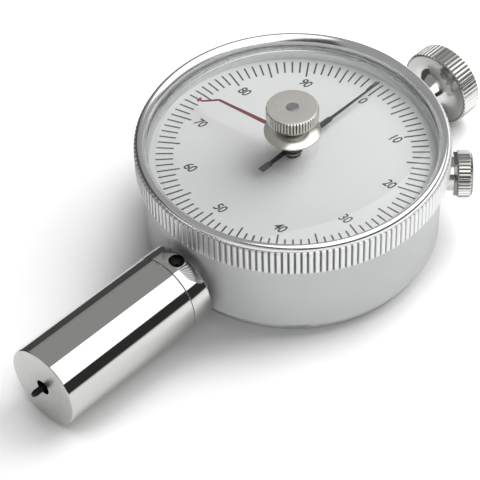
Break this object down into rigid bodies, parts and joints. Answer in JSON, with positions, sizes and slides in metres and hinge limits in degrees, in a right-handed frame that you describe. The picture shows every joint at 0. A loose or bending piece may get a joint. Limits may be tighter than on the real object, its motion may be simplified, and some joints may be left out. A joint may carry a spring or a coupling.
{
  "type": "dial hardness tester",
  "caption": "Handheld dial durometer with ribbed turning bezel, drag pointer with centre knob, side clamp screw, top knob, and a long round foot with sprung indenter.",
  "frame": {"origin": "on the dial's axis, in the plane of the back cover's outer face", "axes": "+Z out of the dial, +Y from the pressure foot towards the top knob, +X towards the side clamp screw"},
  "size_m": [0.06, 0.1147, 0.0321],
  "materials": {
    "case_paint": "satin silver-grey enamel",
    "cover_aluminium": "brushed and lacquered",
    "chrome": "bright chrome plate",
    "steel": "turned and ground",
    "spring_steel": "blued spring steel",
    "brass": "turned brass",
    "bezel_aluminium": "satin aluminium, cross ribbed",
    "dial_face": "silvered matt face",
    "crystal": "clear acrylic",
    "pointer_black": "matt black",
    "pointer_red": "satin red",
    "fibre": "fibre washer"
  },
  "bodies": {
    "case": {"case_body": "case_paint", "back_cover": "cover_aluminium", "cover_screws": "steel", "stem_tube": "steel", "foot_barrel": "chrome", "locking_collar": "chrome", "collar_set_screw": "steel", "lower_rod_bush": "brass", "upper_rod_bush": "brass", "spring_adjuster": "brass", "calibrated_spring": "spring_steel", "movement_plate": "brass", "pillars": "steel", "movement_bridge": "brass", "bridge_screws": "steel", "plate_screws": "steel", "rod_guide": "brass", "guide_fork": "brass", "hairspring": "spring_steel", "hairspring_stud": "brass", "snap_ring": "steel", "top_knob": "chrome", "knob_stud": "steel"},
    "plunger": {"plunger_rod": "steel", "guide_pin": "steel", "indenter": "steel"},
    "rack_gear": {"rack_pinion": "steel", "drive_wheel": "brass"},
    "pointer": {"centre_pinion": "steel", "pointer_hub": "steel", "main_pointer": "pointer_black"},
    "take_up": {"take_up_wheel": "brass", "take_up_arbor": "steel"},
    "bezel_group": {"bezel": "bezel_aluminium", "crystal": "crystal", "spacer_ring": "cover_aluminium", "dial_plate": "dial_face", "bezel_retainer": "cover_aluminium", "flange_bush": "chrome"},
    "drag_group": {"drag_pointer": "pointer_red", "drag_hub": "steel", "drag_spindle": "steel", "friction_washer": "fibre", "drag_knob": "chrome"},
    "pad": {"clamp_pad": "brass"},
    "clamp": {"clamp_screw": "chrome"}
  },
  "joints": [
    {"name": "plunger_slide", "type": "slide", "parent": "case", "child": "plunger", "axis": [0, 1, 0], "range_m": [0, 0.0025], "stiffness_N_per_m": 3000, "springref_m": -0.00018, "deforming": ["calibrated_spring"]},
    {"name": "rack_gear_turn", "type": "hinge", "parent": "case", "child": "rack_gear", "pos_m": [-0.00278, -0.01167, 0.0112], "axis": [0, 0, 1], "range_deg": [0, 90]},
    {"name": "pointer_turn", "type": "hinge", "parent": "case", "child": "pointer", "pos_m": [0, 0, 0.0112], "axis": [0, 0, -1], "range_deg": [0, 360]},
    {"name": "take_up_turn", "type": "hinge", "parent": "case", "child": "take_up", "pos_m": [0.00679, 0.00679, 0.0126], "axis": [0, 0, 1], "range_deg": [0, 120], "deforming": ["hairspring"]},
    {"name": "bezel_turn", "type": "hinge", "parent": "case", "child": "bezel_group", "pos_m": [0, 0, 0.0183], "axis": [0, 0, 1], "continuous": true},
    {"name": "drag_turn", "type": "hinge", "parent": "bezel_group", "child": "drag_group", "pos_m": [0, 0, 0.0257], "axis": [0, 0, 1], "continuous": true},
    {"name": "clamp_pad_slide", "type": "slide", "parent": "case", "child": "pad", "axis": [-0.7349, -0.6782, 0], "range_m": [0, 0.000175]},
    {"name": "clamp_screw_turn", "type": "hinge", "parent": "pad", "child": "clamp", "pos_m": [0.02205, 0.02034, 0.0146], "axis": [-0.7349, -0.6782, 0], "range_deg": [0, 90]}
  ],
  "couplings": [
    {"joint": "rack_gear_turn", "follows": "plunger_slide", "rad_per_m": 628.32},
    {"joint": "pointer_turn", "follows": "plunger_slide", "rad_per_m": 2513.3},
    {"joint": "take_up_turn", "follows": "plunger_slide", "rad_per_m": 837.76},
    {"joint": "clamp_screw_turn", "follows": "clamp_pad_slide", "rad_per_m": 8976}
  ]
}
